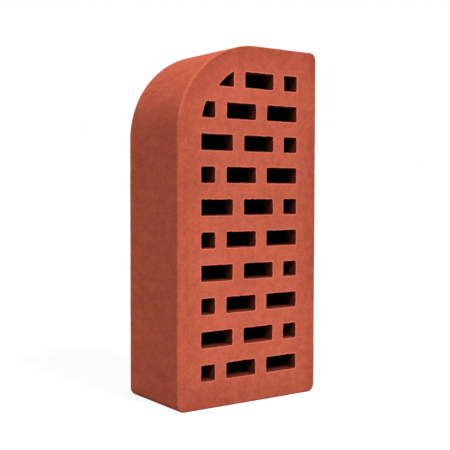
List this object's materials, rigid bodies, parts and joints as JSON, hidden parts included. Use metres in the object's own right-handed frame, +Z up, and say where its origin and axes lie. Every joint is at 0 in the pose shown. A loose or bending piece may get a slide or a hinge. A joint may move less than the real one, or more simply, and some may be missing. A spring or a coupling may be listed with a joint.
{
  "type": "bullnose perforated facing brick",
  "caption": "Red fired-clay facing brick with rows of staggered rectangular perforations and one large rounded corner, standing on its header end.",
  "frame": {"origin": "centre of the header end that the brick stands on", "axes": "+Z up along the brick's length, X across its width from stretcher face to stretcher face with the rounded corner at -X and the top, +Y through its thickness along the perforations"},
  "size_m": [0.12, 0.065, 0.25],
  "materials": {
    "fired_clay": "unglazed red fired clay, matt, fine sandy grain, wire-cut bed faces and smoother die faces"
  },
  "bodies": {
    "root": {"brick": "fired_clay"}
  },
  "joints": []
}
